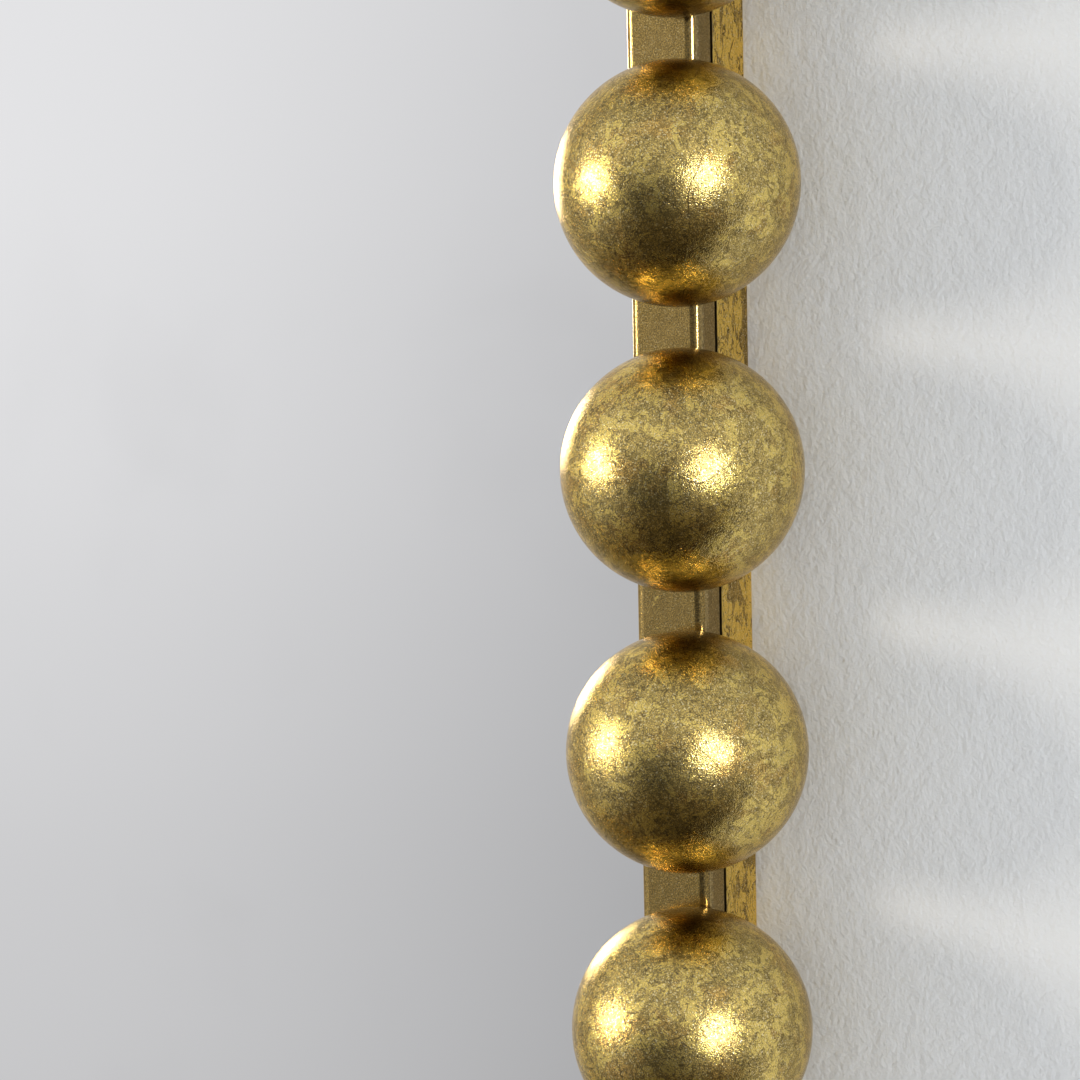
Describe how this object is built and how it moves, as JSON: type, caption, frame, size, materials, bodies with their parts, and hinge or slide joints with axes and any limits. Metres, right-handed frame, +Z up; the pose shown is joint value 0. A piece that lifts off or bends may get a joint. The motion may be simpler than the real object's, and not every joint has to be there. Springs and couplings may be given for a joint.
{
  "type": "wall mirror",
  "caption": "Rectangular wall mirror in a stepped gold-leaf bar frame whose outer corner is saddled by a row of round balls, with hanging rings on its back.",
  "frame": {"origin": "middle of the wall plane, which the four wall bumpers touch", "axes": "+Z up, +X to the viewer's right, -Y out of the wall towards the viewer"},
  "size_m": [0.505, 0.0526, 0.733],
  "materials": {
    "ball_gold_leaf": "antiqued gold leaf over turned wood, mottled",
    "bar_gold_leaf": "antiqued gold leaf over steel tube, satin",
    "silvered_glass": "clear mirror glass",
    "foam_tape": "matt foam tape",
    "backing_board": "raw fibreboard",
    "tab_steel": "welded steel tab, thin gold wash",
    "zinc_steel": "bright zinc plate",
    "bumper_rubber": "matt rubber"
  },
  "bodies": {
    "frame": {"bead_corner_top_left": "ball_gold_leaf", "bead_corner_top_right": "ball_gold_leaf", "bead_corner_bottom_left": "ball_gold_leaf", "bead_corner_bottom_right": "ball_gold_leaf", "bead_top_1": "ball_gold_leaf", "bead_top_2": "ball_gold_leaf", "bead_top_3": "ball_gold_leaf", "bead_top_4": "ball_gold_leaf", "bead_top_5": "ball_gold_leaf", "bead_top_6": "ball_gold_leaf", "bead_top_7": "ball_gold_leaf", "bead_bottom_1": "ball_gold_leaf", "bead_bottom_2": "ball_gold_leaf", "bead_bottom_3": "ball_gold_leaf", "bead_bottom_4": "ball_gold_leaf", "bead_bottom_5": "ball_gold_leaf", "bead_bottom_6": "ball_gold_leaf", "bead_bottom_7": "ball_gold_leaf", "bead_left_1": "ball_gold_leaf", "bead_left_2": "ball_gold_leaf", "bead_left_3": "ball_gold_leaf", "bead_left_4": "ball_gold_leaf", "bead_left_5": "ball_gold_leaf", "bead_left_6": "ball_gold_leaf", "bead_left_7": "ball_gold_leaf", "bead_left_8": "ball_gold_leaf", "bead_left_9": "ball_gold_leaf", "bead_left_10": "ball_gold_leaf", "bead_left_11": "ball_gold_leaf", "bead_right_1": "ball_gold_leaf", "bead_right_2": "ball_gold_leaf", "bead_right_3": "ball_gold_leaf", "bead_right_4": "ball_gold_leaf", "bead_right_5": "ball_gold_leaf", "bead_right_6": "ball_gold_leaf", "bead_right_7": "ball_gold_leaf", "bead_right_8": "ball_gold_leaf", "bead_right_9": "ball_gold_leaf", "bead_right_10": "ball_gold_leaf", "bead_right_11": "ball_gold_leaf", "front_bar_top": "bar_gold_leaf", "front_bar_bottom": "bar_gold_leaf", "front_bar_left": "bar_gold_leaf", "front_bar_right": "bar_gold_leaf", "rear_bar_top": "bar_gold_leaf", "rear_bar_bottom": "bar_gold_leaf", "rear_bar_left": "bar_gold_leaf", "rear_bar_right": "bar_gold_leaf", "mirror_glass": "silvered_glass", "glazing_tape": "foam_tape", "backing_board": "backing_board", "retaining_tabs": "tab_steel", "tab_screws": "zinc_steel", "hanger_strap_left": "zinc_steel", "hanger_strap_right": "zinc_steel", "hanger_screws": "zinc_steel", "wall_bumpers": "bumper_rubber"},
    "left_ring": {"hanger_ring_left": "zinc_steel"},
    "right_ring": {"hanger_ring_right": "zinc_steel"}
  },
  "joints": [
    {"name": "left_ring_swing", "type": "hinge", "parent": "frame", "child": "left_ring", "pos_m": [-0.176, -0.0048, 0.193], "axis": [1, 0, 0], "range_deg": [0, 180]},
    {"name": "right_ring_swing", "type": "hinge", "parent": "frame", "child": "right_ring", "pos_m": [0.176, -0.0048, 0.193], "axis": [1, 0, 0], "range_deg": [0, 180]}
  ]
}
